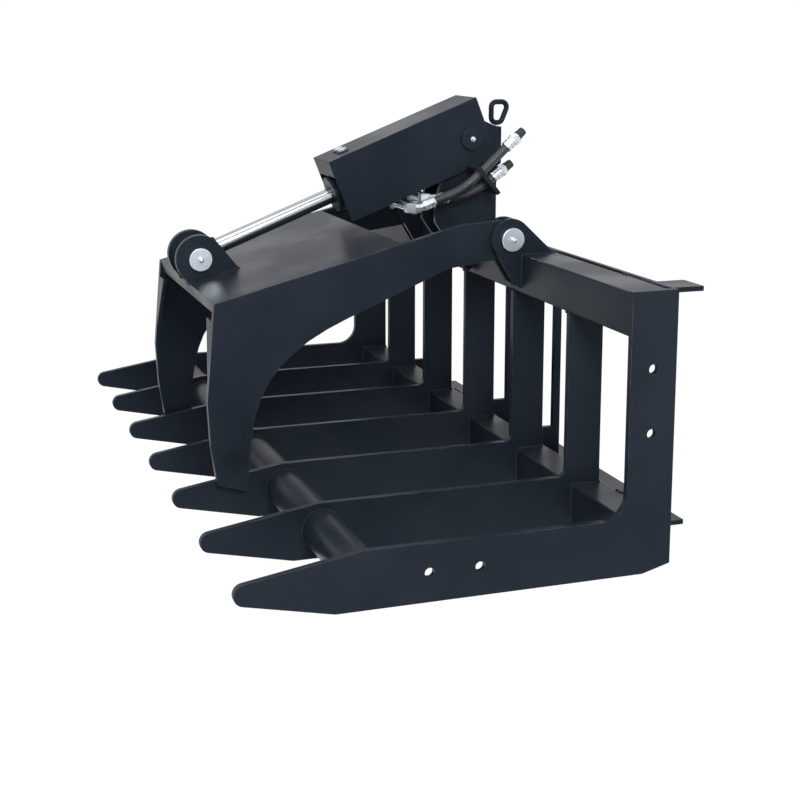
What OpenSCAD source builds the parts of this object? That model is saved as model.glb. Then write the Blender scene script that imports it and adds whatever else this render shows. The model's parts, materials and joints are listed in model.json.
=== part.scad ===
// Root grapple for a compact loader: seven plate tines, one lid, one cylinder.
// X runs across the tines, Y runs from the tine tips back to the loader, Z is up.

/* [Tines] */
// Distance between neighbouring tines
tine_pitch = 254; // [180:1:320]
// Length of a tine from its tip to the back of the frame
tine_len = 760; // [640:5:900]
// Height of a tine along the floor of the frame
tine_h = 100; // [90:1:130]
// Thickness of the tines and end plates
plate_t = 12.7; // [8:0.1:20]
// Distance from the tip to where the top of the nose runs level
nose_len = 213; // [160:1:280]
// Distance from the tip to where the nose rises off the ground
toe_len = 164; // [120:1:220]
// Radius of the blunt tip
tip_r = 18; // [12:1:22]
// Height of the tip's centre above the ground
tip_z = 50; // [40:1:60]
// Height of the frame
frame_h = 489; // [430:1:600]
// Width of the upright on an end plate
end_riser_w = 85; // [78:1:110]
// Radius of the inside corner of an end plate
corner_r = 44; // [20:1:90]
// Radius of the inside corner of an inner tine
inner_corner_r = 14; // [8:1:60]
// Length of the bevel under the heel
heel_len = 52; // [20:1:80]
// Height of the bevel under the heel
heel_h = 14; // [5:1:18]

/* [Frame tubes] */
// Outside size of the square top tube
top_tube = 76; // [60:1:90]
// Outside size of the square tube at the back of the floor
rear_tube = 64; // [50:1:70]
// Wall of both square tubes
tube_wall = 6; // [4:0.5:9]
// Outside diameter of the round tube through the noses
nose_tube_d = 73; // [50:1:76]
// Wall of the round tube
nose_tube_wall = 5; // [3:0.5:8]
// Distance from the tip to the centre of the round tube
nose_tube_y = 216; // [200:1:300]
// Height of the centre of the round tube
nose_tube_z = 52; // [48:1:56]

/* [Accessory holes] */
// Diameter of the holes in the end plates
hole_d = 17; // [10:1:24]
// Distance between the two holes along the floor
floor_hole_gap = 88; // [60:1:120]
// Distance from the tip to the middle of the floor holes
floor_hole_y = 367; // [320:1:450]
// Distance between the two holes up the riser
riser_hole_gap = 111; // [80:1:150]
// Height of the middle of the riser holes
riser_hole_z = 301; // [260:1:340]

/* [Quick attach] */
// Width of the attach frame
attach_w = 1168; // [1100:1:1240]
// Distance from the back of the frame to the attach face
attach_gap = 101; // [80:1:140]
// Thickness of the attach plates
attach_t = 9.5; // [6:0.5:14]
// Distance from the top of the frame down to the top of the attach face
attach_top_drop = 33; // [10:1:50]
// Height of the attach top rail
attach_rail_h = 100; // [60:1:130]
// How far the top hooks reach back from the attach face
attach_lip_d = 56; // [30:1:70]
// How far the top hooks rise towards their edge
attach_lip_rise = 0; // [0:1:30]
// Width of the hook at each end of the top rail
attach_hook_w = 72; // [50:1:300]
// Height of the underside of the bottom lip
attach_bottom_z = 8; // [4:1:14]
// How far the bottom lip reaches back from the attach face
attach_foot_d = 32; // [15:1:50]
// Length of a slot for a locking wedge
wedge_slot_l = 70; // [50:1:90]
// Width of a slot for a locking wedge
wedge_slot_w = 26; // [18:1:32]
// Distance from the middle to each wedge slot
wedge_slot_x = 470; // [440:1:520]
// Distance from the middle to each inner stand-off plate
inner_web_x = 125; // [60:1:200]
// Depth of the upright strip of a stand-off plate
web_strip = 16; // [14:1:60]

/* [Lid] */
// Height of the lid pivot above the top of the frame
lid_pivot_up = 25; // [20:1:40]
// Distance from the lid pivot forward to the lid's front edge
lid_reach = 596; // [560:1:605]
// Height of the lid's toes above the ground
lid_toe_z = 59; // [54:1:90]
// Thickness of the lid arms
arm_t = 16; // [10:1:20]
// Gap between a tine and the lid arm beside it
arm_gap = 7.6; // [5:0.1:12]
// Radius of the lid arm around its pivot
arm_boss_r = 36; // [34:1:37]
// Radius of the lid pivot pins
pivot_pin_r = 16; // [12:0.5:17]
// Thickness of the lid plate
lid_plate_t = 8; // [5:1:12]
// Length of the lid plate down its slope
lid_plate_len = 376; // [300:1:400]
// Height of the folded front lip of the lid plate
lid_lip_h = 26; // [15:1:40]
// Width of a front corner gusset at its top
gusset_w = 45; // [25:1:70]
// Height of a front corner gusset
gusset_h = 110; // [60:1:150]

/* [Rod lugs] */
// Distance from the front edge of the lid plate back to the rod pin
rod_pin_back = 23.3; // [16:0.1:40]
// Height of the rod pin above the front edge of the lid plate
rod_pin_up = 47.2; // [44:0.1:60]
// Radius of the rod lugs around the pin
lug_r = 48; // [40:1:52]
// Thickness of the rod lugs
lug_t = 16; // [10:1:20]
// Width of the root of the rod lugs
lug_root = 80; // [60:1:100]
// Radius of the rod pin
rod_pin_r = 12.7; // [10:0.1:14]

/* [Cylinder] */
// Distance from the front of the top tube forward to the base pin
base_pin_ahead = 11; // [0:1:24]
// Height of the base pin above the top of the top tube
base_pin_up = 206; // [186:1:226]
// Radius of the base pin
base_pin_r = 16; // [12:0.5:18]
// Outside diameter of the barrel
barrel_d = 76; // [68:1:80]
// Bore of the barrel
bore_d = 63.5; // [55:0.5:64]
// Diameter of the rod
rod_d = 32; // [25:1:38]
// Width of the base eye and the rod eye
eye_w = 60; // [50:1:62]
// Gap on each side of an eye
eye_gap = 3; // [1:0.5:4]
// Distance from the base pin to the bottom of the barrel
barrel_start = 70; // [68:1:80]
// Distance from the base pin to the open end of the barrel
barrel_end = 280; // [270:1:330]
// Length of the gland that shows past the barrel
gland_len = 24; // [16:1:30]
// Length of the piston
piston_len = 32; // [24:1:40]
// Distance from the gland back to the piston, lid closed
piston_gap = 10; // [5:1:40]

/* [Cylinder cover] */
// Thickness of the cover sheet
cover_t = 4; // [3:0.5:6]
// Width of the cover
cover_w = 116; // [110:1:126]
// Height of the cover above the cylinder axis
cover_up = 75; // [65:1:78]
// Depth of the cover below the cylinder axis
cover_down = 56; // [48:1:58]
// Distance from the base pin forward to the front of the cover
cover_front = 298; // [294:1:345]
// Distance from the base pin back to the rear of the cover
cover_back = 41; // [20:1:42]
// Height of the flange folded down at the front of the cover
cover_lip_h = 36; // [20:1:40]

/* [Cylinder tower] */
// How far the tower leans forward of the top tube
tower_reach = 84; // [70:1:90]
// Radius of the tower around the base pin
tower_r = 46; // [38:1:48]
// Thickness of the tower plates
tower_t = 12.7; // [8:0.1:13]

/* [Hoses] */
// Outside diameter of the hoses
hose_d = 19; // [14:1:20]
// Distance from the middle to the inner hose
hose_x = 78; // [76:1:90]

/* [Hidden] */
$fn = 96;

// One overrun for all cuts
over = 1;
// Radial clearance of a pin in a fixed hole
pin_fit = 0.05;
// Radial clearance of a turning or sliding fit
run_fit = 0.08;
// Room around a hose in its clamp
clamp_fit = 2;
// Side clearance between pieces that move past each other
side_gap = 2;

// Where the tips stand, so that the middle of the depth is at Y = 0
overall_depth = tine_len + attach_gap + attach_lip_d;
tip_y = -overall_depth / 2;
// Number of inner tines and the centre of each end plate
inner_tines = 5;
end_x = tine_pitch * (inner_tines + 1) / 2;
tube_front_y = tine_len - top_tube;
tube_top_clear = 5;
top_tube_z = frame_h - tube_top_clear;
attach_top_z = frame_h - attach_top_drop;
rear_tube_bottom = 20;
rear_tube_y = tine_len - rear_tube;
inner_tine_back = 8;

// Lid pivot in front of the top tube
lid_pivot_ahead = 22;
lid_pivot_y = tube_front_y - lid_pivot_ahead;
lid_pivot_z = frame_h + lid_pivot_up;
lid_drop = lid_pivot_z - lid_toe_z;
arm_x = tine_pitch + plate_t / 2 + arm_gap + arm_t / 2;
arm_inner_x = arm_x - arm_t / 2;
ear_t = plate_t;
ear_x = arm_t / 2 + side_gap + ear_t / 2;
ear_r = 40;
ear_lobe_z = 64;
ear_lobe_w = 16;
pin_head_r = 23;
pin_head_t = 9;
bush_wall = 5;
eye_room = eye_w / 2 + eye_gap;

// Outline of a lid arm, as shares of lid_reach forward and lid_drop down from the pivot
arm_front_shares = [[0.160, -0.066], [0.972, 0.207], [1, 0.611], [0.993, 0.8], [0.975, 0.960], [0.879, 1]];
arm_back_shares = [[0.879, 1], [0.859, 0.657], [0.859, 0.470], [0.540, 0.297]];
arm_under_shares = [0.206, 0.116];
function arm_at(s) = [lid_pivot_y - s[0] * lid_reach, lid_pivot_z - s[1] * lid_drop];

// The lid plate follows the top of the arms between its front edge and the pivot
lid_front = arm_at(arm_front_shares[1]);
lid_rear = arm_at(arm_front_shares[0]);
lid_slope = atan2(lid_rear[1] - lid_front[1], lid_rear[0] - lid_front[0]);

// Cylinder axis: from the base pin down to the rod pin
base_pin_y = tube_front_y - base_pin_ahead;
base_pin_z = top_tube_z + base_pin_up;
rod_pin_y = lid_front[0] + rod_pin_back;
rod_pin_z = lid_front[1] + rod_pin_up;
cyl_dy = base_pin_y - rod_pin_y;
cyl_dz = base_pin_z - rod_pin_z;
cyl_a = atan2(cyl_dz, cyl_dy);
cyl_len = sqrt(cyl_dy * cyl_dy + cyl_dz * cyl_dz);
rod_eye_r = 30;
// The rod eye is bored over size, so that it stays clear of its pin all the way
rod_eye_play = 8;
rod_neck_len = 18;
rod_neck_r = 21;
base_eye_r = 34;
gland_out = barrel_end + gland_len;
gland_inside = 34;
piston_start = barrel_end - gland_inside - piston_gap - piston_len;
ring_w = 8;
ring_depth = 3;
seal_w = 6;
seal_r = 5;

// Ports under the barrel: pipes below the cover's lower edge, and the line to the rod end
port_r = 14;
port_drop = 68;
port_s = 145;
line_port_s = 262;
line_end_s = 186;
line_drop = 50;
line_r = 7;
fitting_r = 8;
elbow_wall = 1.5;
elbow_len = 22;
seat_gap = 0.4;
ferrule_r = 12;
ferrule_len = 20;

curve_steps = 12;
arc_steps = 16;

// Outline of a tower plate, as shares of tower_reach forward of the top tube's front face
// and of the height from the tube's top up to the base pin
tower_front_shares = [[0, -0.31], [0.14, -0.35], [1, 0.17], [1, 0.37], [0.70, 0.76]];
tower_back_shares = [[-0.61, 0.12], [-0.78, 0]];
tower_shoulder_share = -0.61;

// Where an elbow stands, and the route of its hose: straight back out of the elbow,
// then through points given as distances back and up from the base pin
function elbow_at(s) = [
    base_pin_y - s * cos(cyl_a) + port_drop * sin(cyl_a), base_pin_z - s * sin(cyl_a) - port_drop * cos(cyl_a)
];
hose_1_bend = [[-80, -130], [-63, -125], [-48, -116], [-34, -105], [-13, -84], [8, -63], [34, -39.5], [61, -15]];
hose_2_bend = [[-40, -116], [-25, -115], [-11, -111], [2, -106], [14, -98], [27, -88], [41, -78]];
function hose_route(s, bend) = concat(
    [for (d = [elbow_len + seat_gap, 1.5 * elbow_len, 2 * elbow_len]) elbow_at(s) + [d, 0]],
    [for (b = bend) [base_pin_y, base_pin_z] + b]
);
hose_1_route = hose_route(line_end_s, hose_1_bend);
hose_2_route = hose_route(port_s, hose_2_bend);
hose_spread = 22;
hose_sides = 10;
hose_steps = 3;

// Guide loop behind the tower
guide_bar_d = 11;
guide_rise = 43;
guide_top_w = 40;
guide_foot_w = 22;

// Small hardware
bolt_r = 5;
bolt_head_h = 6;
keeper_l = 44;
keeper_w = 22;
keeper_t = 6;
ear_gray = [0.13, 0.14, 0.17];
paint = [0.10, 0.11, 0.15];
zinc = [0.75, 0.77, 0.80];
rubber = [0.05, 0.05, 0.06];
brass = [0.72, 0.60, 0.32];

// Places a piece given by its distance from the tips
module at(x, y, z) { translate([x, tip_y + y, z]) children(); }

// Stands an outline drawn in (Y, Z) up as a plate centred on x
module plate(x, t) { at(x - t / 2, 0, 0) rotate([90, 0, 90]) linear_extrude(t) children(); }

// A round bar along X, centred on x
module cross_bar(x, y, z, r, len) { at(x - len / 2, y, z) rotate([0, 90, 0]) cylinder(r = r, h = len); }

// The cylinder's own frame: base pin at the origin, rod pin along -Y, up is +Z
module on_cylinder() { at(0, base_pin_y, base_pin_z) rotate([cyl_a, 0, 0]) children(); }

// A round bar along the cylinder's axis between two distances from the base pin
module axial(s0, s1, r) { rotate([90, 0, 0]) translate([0, 0, s0]) cylinder(r = r, h = s1 - s0); }

// Tangent point on a circle, seen from a point outside; side is 1 or -1
function tangent(p, c, r, side) =
    let(d = c - p, len = norm(d), a = atan2(d[1], d[0]), b = asin(r / len), t = sqrt(len * len - r * r))
    p + t * [cos(a + side * b), sin(a + side * b)];

// Points along an arc: between two angles, or anticlockwise from one point to another
function arc(c, r, a, b) =
    [for (i = [0:arc_steps]) let(t = a + (b - a) * i / arc_steps) c + r * [cos(t), sin(t)]];
function angle_of(v) = atan2(v[1], v[0]);
function turn(a) = a - 360 * floor(a / 360);
function arc_round(c, p, q) =
    let(a = angle_of(p - c), b = angle_of(q - c)) arc(c, norm(p - c), a, a + turn(b - a));

function bezier(p, t) = pow(1 - t, 3) * p[0] + 3 * t * pow(1 - t, 2) * p[1]
    + 3 * t * t * (1 - t) * p[2] + pow(t, 3) * p[3];

// Side outline of a tine with its upright
module tine_outline(riser_y, riser_back, top_z, bevel, r) {
    tip = [tip_r, tip_z];
    top = [nose_len, tine_h];
    toe = [toe_len, 0];
    polygon(concat(
        [toe, [riser_back - heel_len * bevel, 0], [riser_back, heel_h * bevel], [riser_back, top_z]],
        [[riser_y, top_z]], arc([riser_y - r, tine_h + r], r, 0, -90), [top],
        arc_round(tip, tangent(top, tip, tip_r, -1), tangent(toe, tip, tip_r, 1))
    ));
}

module end_plate_2d() {
    difference() {
        tine_outline(tine_len - end_riser_w, tine_len, frame_h, 1, corner_r);
        for (s = [-1, 1]) {
            translate([floor_hole_y + s * floor_hole_gap / 2, tine_h / 2]) circle(d = hole_d);
            translate([tine_len - end_riser_w / 2, riser_hole_z + s * riser_hole_gap / 2]) circle(d = hole_d);
        }
    }
}

module end_plate(x) { color(paint) plate(x, plate_t) end_plate_2d(); }

module inner_tine(x) {
    color(paint) plate(x, plate_t) difference() {
        tine_outline(tube_front_y, tine_len - inner_tine_back, top_tube_z - top_tube, 0, inner_corner_r);
        translate([nose_tube_y, nose_tube_z]) circle(d = nose_tube_d);
        translate([rear_tube_y, rear_tube_bottom]) square([rear_tube, rear_tube]);
    }
}

// Square tube between the end plates
module square_tube(y, z, size) {
    len = 2 * end_x - plate_t;
    at(-len / 2, y, z) difference() {
        cube([len, size, size]);
        translate([-over, tube_wall, tube_wall])
            cube([len + 2 * over, size - 2 * tube_wall, size - 2 * tube_wall]);
    }
}

module top_tube_bar() { color(paint) square_tube(tube_front_y, top_tube_z - top_tube, top_tube); }

module rear_tube_bar() { color(paint) square_tube(rear_tube_y, rear_tube_bottom, rear_tube); }

module nose_tube() {
    len = 2 * end_x - plate_t;
    color(paint) difference() {
        cross_bar(0, nose_tube_y, nose_tube_z, nose_tube_d / 2, len);
        cross_bar(0, nose_tube_y, nose_tube_z, nose_tube_d / 2 - nose_tube_wall, len + 2 * over);
    }
}

attach_y = tine_len + attach_gap;

// Top rail: an upright face, with a hook over the loader's plate at each end
module attach_top_rail() {
    face_y = attach_y - attach_t;
    tip_y = attach_y + attach_lip_d;
    low = attach_top_z - attach_t;
    color(paint) {
        at(-attach_w / 2, face_y, attach_top_z - attach_rail_h) cube([attach_w, attach_t, attach_rail_h]);
        for (side = [-1, 1]) plate(side * (attach_w - attach_hook_w) / 2, attach_hook_w) polygon([
            [face_y, low], [attach_y, low], [tip_y, low + attach_lip_rise],
            [tip_y, attach_top_z + attach_lip_rise], [face_y, attach_top_z]
        ]);
    }
}

module attach_bottom_lip() {
    color(paint) difference() {
        at(-attach_w / 2, tine_len, attach_bottom_z) cube([attach_w, attach_gap + attach_foot_d, attach_t]);
        for (s = [-1, 1])
            at(s * wedge_slot_x - wedge_slot_l / 2, attach_y - wedge_slot_w, attach_bottom_z - over)
                cube([wedge_slot_l, wedge_slot_w, attach_t + 2 * over]);
    }
}

// Stand-off plates that carry the attach rail and lip behind the two tubes
module attach_webs() {
    x = attach_w / 2 - plate_t / 2;
    foot = attach_bottom_z + attach_t;
    back = attach_y - attach_t;
    color(paint) for (px = [-x, -inner_web_x, inner_web_x, x]) plate(px, plate_t) difference() {
        polygon([[tine_len, foot], [back, foot], [back, attach_top_z], [tine_len, top_tube_z]]);
        polygon([
            [tine_len - over, rear_tube_bottom + rear_tube], [back - web_strip, rear_tube_bottom + rear_tube],
            [back - web_strip, top_tube_z - top_tube], [tine_len - over, top_tube_z - top_tube]
        ]);
    }
}

// One ear: round over the pin, its back on the tube's top and its nose down the tube's front
module ear_2d() {
    o = [lid_pivot_y, lid_pivot_z];
    back = [tine_len - inner_tine_back, top_tube_z];
    lobe = [tube_front_y, top_tube_z - ear_lobe_z];
    lobe_front = lobe - [ear_lobe_w, -ear_lobe_w / 2];
    difference() {
        polygon(concat(
            [back], arc_round(o, tangent(back, o, ear_r, -1), tangent(lobe_front, o, ear_r, 1)),
            [lobe_front, lobe, [tube_front_y, top_tube_z]]
        ));
        translate(o) circle(r = pivot_pin_r + pin_fit);
    }
}

module lid_ears(side) {
    color(ear_gray) for (s = [-1, 1]) plate(side * arm_x + s * ear_x, ear_t) ear_2d();
}

// Pivot pin with a round head on its outer end
module pivot_pin(side) {
    len = 2 * ear_x + ear_t;
    color(zinc) {
        cross_bar(side * arm_x, lid_pivot_y, lid_pivot_z, pivot_pin_r, len + 2 * pin_fit);
        cross_bar(
            side * (arm_x + len / 2 + pin_head_t / 2 + pin_fit), lid_pivot_y, lid_pivot_z, pin_head_r, pin_head_t
        );
    }
}

// Keeper: a strap and a bolt across the end of a pin
module keeper(x, y, z, side) {
    at(x, y, z) rotate([0, side * 90, 0]) {
        translate([-keeper_w / 2, -keeper_l / 2, 0]) cube([keeper_w, keeper_l, keeper_t]);
        translate([0, 0, keeper_t]) cylinder(r = bolt_r * 2, h = bolt_head_h, $fn = 6);
    }
}

module pivot_keepers() {
    x = arm_x - ear_x - ear_t / 2 - pin_fit;
    color(zinc) for (side = [-1, 1]) keeper(side * x, lid_pivot_y, lid_pivot_z, -side);
}

tower_rise = base_pin_z - top_tube_z;
function tower_at(s) = [tube_front_y - s[0] * tower_reach, top_tube_z + s[1] * tower_rise];
shoulder_z = base_pin_z + tower_r / 2;

module tower_2d() {
    b = [base_pin_y, base_pin_z];
    front = [for (s = tower_front_shares) tower_at(s)];
    back = [for (s = tower_back_shares) tower_at(s)];
    shoulder = [tube_front_y - tower_shoulder_share * tower_reach, shoulder_z];
    neck = front[len(front) - 1];
    difference() {
        polygon(concat(
            [shoulder], arc_round(b, tangent(shoulder, b, tower_r, -1), tangent(neck, b, tower_r, 1)),
            [for (i = [len(front) - 1:-1:0]) front[i]], [[tube_front_y, top_tube_z]],
            [for (i = [len(back) - 1:-1:0]) back[i]]
        ));
        translate(b) circle(r = base_pin_r + pin_fit);
    }
}

tower_x = eye_room + tower_t / 2;
tower_outer = eye_room + tower_t;

module tower_plate(side) { color(paint) plate(side * tower_x, tower_t) tower_2d(); }

// Cross plate behind the tower, under the hose guide
brace_t = 10;
brace_h = 90;
brace_y = tube_front_y - tower_shoulder_share * tower_reach;
module tower_brace() {
    color(paint) at(-tower_outer, brace_y, shoulder_z - brace_h)
        cube([2 * tower_outer, brace_t, brace_h]);
}

module base_pin() {
    len = cover_w + 2 * side_gap;
    color(paint) {
        cross_bar(0, base_pin_y, base_pin_z, base_pin_r, len);
        cross_bar(len / 2 + keeper_t / 2, base_pin_y, base_pin_z, pin_head_r, keeper_t);
    }
}

module base_pin_keeper() {
    color(zinc) keeper(-cover_w / 2 - side_gap, base_pin_y, base_pin_z, -1);
}

// Guide loop cut from plate, standing on the cross plate
module hose_guide() {
    post = brace_y + guide_bar_d / 2;
    low = shoulder_z + guide_bar_d / 2;
    guide_loop = [
        [post, low], [post, low + guide_rise], [post + guide_top_w, low + guide_rise], [post + guide_foot_w, low]
    ];
    color(paint) plate(0, guide_bar_d) {
        difference() {
            offset(r = guide_bar_d / 2, $fn = 24) polygon(guide_loop);
            offset(r = -guide_bar_d / 2) polygon(guide_loop);
        }
    }
}

// Curve through the route's points, and the tube around it
function spline_at(p, i, t) =
    let(
        a = p[max(i - 1, 0)], b = p[i], c = p[i + 1], d = p[min(i + 2, len(p) - 1)],
        m = (c - a) / 2, n = (d - b) / 2
    )
    (2 * t * t * t - 3 * t * t + 1) * b + (t * t * t - 2 * t * t + t) * m
    + (3 * t * t - 2 * t * t * t) * c + (t * t * t - t * t) * n;

function route_points(p) = concat(
    [for (i = [0:len(p) - 2]) for (k = [0:hose_steps - 1]) spline_at(p, i, k / hose_steps)], [p[len(p) - 1]]
);

module hose(route, x) {
    path = route_points(route);
    last = len(path) - 1;
    rings = [for (i = [0:last])
        let(v = path[min(i + 1, last)] - path[max(i - 1, 0)], u = v / norm(v))
        [for (k = [0:hose_sides - 1])
            let(a = 360 * k / hose_sides, r = hose_d / 2)
            [r * cos(a), path[i][0] - u[1] * r * sin(a), path[i][1] + u[0] * r * sin(a)]]];
    sides = [for (i = [0:last - 1]) for (k = [0:hose_sides - 1])
        let(j = (k + 1) % hose_sides, a = i * hose_sides, b = a + hose_sides)
        [a + k, b + k, b + j, a + j]];
    cap_a = [for (k = [0:hose_sides - 1]) k];
    cap_b = [for (k = [hose_sides - 1:-1:0]) last * hose_sides + k];
    color(rubber) at(x, 0, 0)
        polyhedron(points = [for (r = rings) for (q = r) q], faces = concat(sides, [cap_a, cap_b]), convexity = 6);
}

module hose_1_tube() { hose(hose_1_route, hose_x + hose_spread); }

module hose_2_tube() { hose(hose_2_route, hose_x); }

// Ferrule and coupler at the loose end of a hose
module hose_end(route, x) {
    q = route[len(route) - 1];
    v = q - route[len(route) - 2];
    at(x, q[0], q[1]) rotate([atan2(v[1], v[0]) - 90, 0, 0]) {
        cylinder(r = ferrule_r, h = ferrule_len);
        translate([0, 0, ferrule_len]) cylinder(r = ferrule_r + side_gap, h = ferrule_len / 2, $fn = 6);
        translate([0, 0, 3 * ferrule_len / 2]) cylinder(r = fitting_r, h = ferrule_len);
    }
}

module hose_couplers() {
    color(zinc) {
        hose_end(hose_1_route, hose_x + hose_spread);
        hose_end(hose_2_route, hose_x);
    }
}

// Clamp plate square to the hoses, on an arm from the tower below the cover
clamp_t = 8;
clamp_edge = 6;
clamp_a = 40;
clamp_step = 31.5;
clamp_point = [base_pin_y, base_pin_z] + hose_2_bend[5];
module hose_clamp() {
    r = hose_d / 2 + clamp_fit;
    left = hose_x - r - clamp_edge;
    right = hose_x + hose_spread + r + clamp_edge;
    low = -r - clamp_edge;
    color(paint) at(0, clamp_point[0], clamp_point[1]) rotate([90 + clamp_a, 0, 0]) difference() {
        union() {
            translate([left, low, 0]) cube([right - left, clamp_step - 2 * low, clamp_t]);
            translate([tower_outer, low - clamp_edge, 0]) cube([right - tower_outer, 2 * clamp_edge, clamp_t]);
        }
        translate([hose_x, 0, -over]) cylinder(r = r, h = clamp_t + 2 * over);
        translate([hose_x + hose_spread, clamp_step, -over]) cylinder(r = r, h = clamp_t + 2 * over);
    }
}

module lid_arm_2d() {
    o = [lid_pivot_y, lid_pivot_z];
    front = [for (s = arm_front_shares) arm_at(s)];
    back = [for (s = arm_back_shares) arm_at(s)];
    under = arm_at(arm_under_shares);
    difference() {
        polygon(concat(
            arc_round(o, tangent(under, o, arm_boss_r, -1), tangent(front[0], o, arm_boss_r, 1)), front,
            [for (i = [1:curve_steps]) bezier(back, i / curve_steps)], [under]
        ));
        translate(o) circle(r = pivot_pin_r + run_fit + bush_wall + pin_fit);
    }
}

module lid_arm(side) { color(paint) plate(side * arm_x, arm_t) lid_arm_2d(); }

module lid_plate() {
    color(paint) plate(0, 2 * arm_inner_x) translate(lid_front) rotate(lid_slope) union() {
        translate([0, -lid_plate_t]) square([lid_plate_len, lid_plate_t]);
        translate([0, -lid_lip_h]) square([lid_plate_t, lid_lip_h]);
    }
}

// Tapered gussets down the front edge of each arm, under the lip
module lid_gussets() {
    knee = arm_at(arm_front_shares[2]);
    v = knee - lid_front;
    lean = atan2(-v[0], -v[1]);
    drop = lid_lip_h / cos(lid_slope) + lid_plate_t;
    color(paint) for (side = [-1, 1])
        at(side * arm_inner_x, lid_front[0], lid_front[1]) rotate([-lean, 0, 0]) translate([0, lid_plate_t, -drop])
            rotate([90, 0, 0]) linear_extrude(lid_plate_t)
                polygon([[0, 0], [-side * gusset_w, 0], [0, -gusset_h]]);
}

module pivot_bushes() {
    r = pivot_pin_r + run_fit;
    color(brass) for (side = [-1, 1]) difference() {
        cross_bar(side * arm_x, lid_pivot_y, lid_pivot_z, r + bush_wall, arm_t + side_gap);
        cross_bar(side * arm_x, lid_pivot_y, lid_pivot_z, r, arm_t + side_gap + 2 * over);
    }
}

// Rod lug: round over the rod pin, its root on the lid plate
module rod_lug_2d() {
    p = [rod_pin_y, rod_pin_z];
    along = [cos(lid_slope), sin(lid_slope)];
    root_back = lid_front + along * (lug_root + lug_r / 2);
    difference() {
        polygon(concat(
            [lid_front, root_back],
            arc_round(p, tangent(root_back, p, lug_r, -1), tangent(lid_front, p, lug_r, 1))
        ));
        translate(p) circle(r = rod_pin_r + pin_fit);
    }
}

module rod_lug(side) { color(ear_gray) plate(side * (eye_room + lug_t / 2), lug_t) rod_lug_2d(); }

lug_outer = eye_room + lug_t;

module rod_pin() {
    color(zinc) {
        cross_bar(0, rod_pin_y, rod_pin_z, rod_pin_r, 2 * (lug_outer + pin_fit));
        cross_bar(lug_outer + pin_fit + pin_head_t / 2, rod_pin_y, rod_pin_z, pin_head_r, pin_head_t);
    }
}

module rod_pin_keeper() { color(zinc) keeper(-lug_outer - pin_fit, rod_pin_y, rod_pin_z, -1); }

module barrel() {
    color(paint) on_cylinder() difference() {
        axial(barrel_start, barrel_end, barrel_d / 2);
        axial(barrel_start - over, barrel_end + over, bore_d / 2);
    }
}

// Base eye: a cross tube on the pin, with the cap that closes the barrel
cap_t = 14;
module base_eye() {
    bore = base_pin_r + run_fit + bush_wall + pin_fit;
    color(paint) on_cylinder() difference() {
        union() {
            translate([-eye_w / 2, 0, 0]) rotate([0, 90, 0]) cylinder(r = base_eye_r, h = eye_w);
            axial(0, barrel_start - cap_t / 2, eye_w / 2 - eye_gap);
            axial(barrel_start - cap_t / 2, barrel_start, barrel_d / 2);
            axial(barrel_start, barrel_start + cap_t, bore_d / 2);
        }
        translate([-eye_w / 2 - over, 0, 0]) rotate([0, 90, 0]) cylinder(r = bore, h = eye_w + 2 * over);
    }
}

module base_eye_bush() {
    r = base_pin_r + run_fit;
    color(brass) difference() {
        cross_bar(0, base_pin_y, base_pin_z, r + bush_wall, eye_w);
        cross_bar(0, base_pin_y, base_pin_z, r, eye_w + 2 * over);
    }
}

// Gland that closes the open end and guides the rod
module gland() {
    color(paint) on_cylinder() difference() {
        union() {
            axial(barrel_end - gland_inside, barrel_end, bore_d / 2);
            axial(barrel_end, gland_out, barrel_d / 2);
        }
        axial(barrel_end - gland_inside - over, gland_out + over, rod_d / 2 + run_fit);
        axial(gland_out - seal_w, gland_out + over, rod_d / 2 + seal_r);
    }
}

module rod_seal() {
    color(rubber) on_cylinder() difference() {
        axial(gland_out - seal_w, gland_out, rod_d / 2 + seal_r);
        axial(gland_out - seal_w - over, gland_out + over, rod_d / 2 + run_fit);
    }
}

// One port: a pipe out past the cover's edge, with square elbow blocks at both ends
block = 2 * (fitting_r + elbow_wall);
module port_elbow(s, x) {
    translate([0, -s, -port_drop]) {
        rotate([0, 90, 0]) cylinder(r = fitting_r, h = x);
        translate([x, 0, 0]) rotate([-cyl_a, 0, 0]) {
            translate([-block / 2, -block / 2, -block / 2]) cube(block);
            rotate([-90, 0, 0]) cylinder(r = fitting_r, h = elbow_len);
        }
    }
}

module port_fittings() {
    color(zinc) on_cylinder() {
        difference() {
            translate([0, -port_s, -port_drop]) cylinder(r = port_r, h = port_drop);
            axial(0, gland_out, barrel_d / 2);
        }
        translate([-block / 2, -port_s - block / 2, -port_drop - block / 2]) cube(block);
        port_elbow(port_s, hose_x);
        translate([-block / 2, -line_end_s - block / 2, -port_drop - block / 2])
            cube([block, block, port_drop - line_drop + block]);
        port_elbow(line_end_s, hose_x + hose_spread);
    }
}

// Steel line that feeds the rod end, along the underside of the barrel
module rod_port_line() {
    color(paint) on_cylinder() difference() {
        union() {
            translate([0, -line_port_s, -line_drop]) cylinder(r = line_r, h = line_drop);
            translate([0, 0, -line_drop]) axial(line_end_s + block / 2, line_port_s, line_r);
            translate([0, -line_port_s, -line_drop]) sphere(r = line_r + elbow_wall, $fn = 32);
        }
        axial(0, gland_out, barrel_d / 2);
    }
}

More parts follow.
